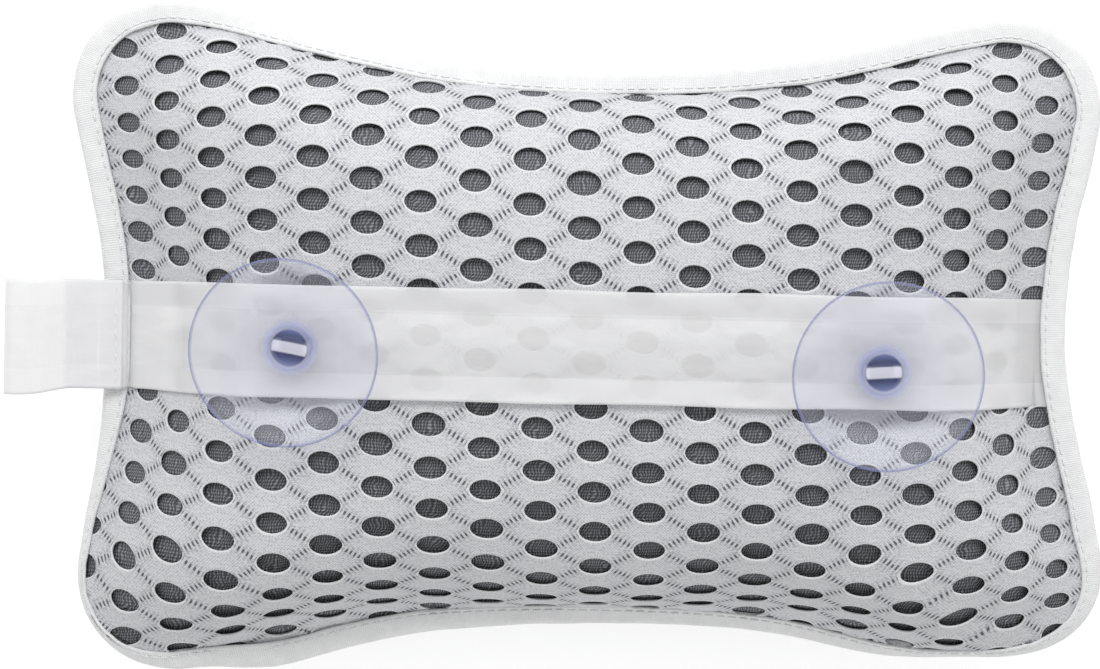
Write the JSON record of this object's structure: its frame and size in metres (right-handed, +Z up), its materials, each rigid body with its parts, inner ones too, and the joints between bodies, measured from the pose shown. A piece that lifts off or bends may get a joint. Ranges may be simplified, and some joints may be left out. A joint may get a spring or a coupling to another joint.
{
  "type": "bath pillow",
  "caption": "Stuffed bow-tie bath pillow of white air mesh with a bound edge, a strap across its back that carries clear suction cups, and a hanging loop.",
  "frame": {"origin": "on the resting face, under the middle of the pillow", "axes": "+X along the pillow away from the hanging loop, +Y across it, +Z up out of the back, the way the suction cups face"},
  "size_m": [0.3043, 0.1838, 0.0821],
  "materials": {
    "air_mesh": "white spacer knit with oval holes over a grey ground",
    "fibre_fill": "white polyester fibre",
    "binding_tape": "white woven tape",
    "sewing_thread": "white thread",
    "strap_cloth": "thin white cloth that lets some light through",
    "clear_pvc": "clear soft PVC with a blue-violet tint"
  },
  "bodies": {
    "pillow": {"back_mesh_panel": "air_mesh", "front_mesh_panel": "air_mesh", "fibre_fill": "fibre_fill", "edge_binding": "binding_tape", "binding_thread_back": "sewing_thread", "binding_thread_front": "sewing_thread", "suction_cup_strap": "strap_cloth", "strap_end_thread": "sewing_thread"},
    "loop": {"hanging_loop": "strap_cloth"},
    "left_cup": {"left_suction_cup": "clear_pvc"},
    "right_cup": {"right_suction_cup": "clear_pvc"}
  },
  "joints": [
    {"name": "left_cup_spin", "type": "hinge", "parent": "pillow", "child": "left_cup", "pos_m": [-0.078, -0.001, 0.06539], "axis": [0, -0.1564, 0.9877], "continuous": true},
    {"name": "right_cup_spin", "type": "hinge", "parent": "pillow", "child": "right_cup", "pos_m": [0.078, -0.0045, 0.06539], "axis": [0, -0.1045, 0.9945], "continuous": true},
    {"name": "loop_flip", "type": "hinge", "parent": "pillow", "child": "loop", "pos_m": [-0.13602, 0, 0.03435], "axis": [0, 1, 0], "range_deg": [-90, 100]}
  ]
}
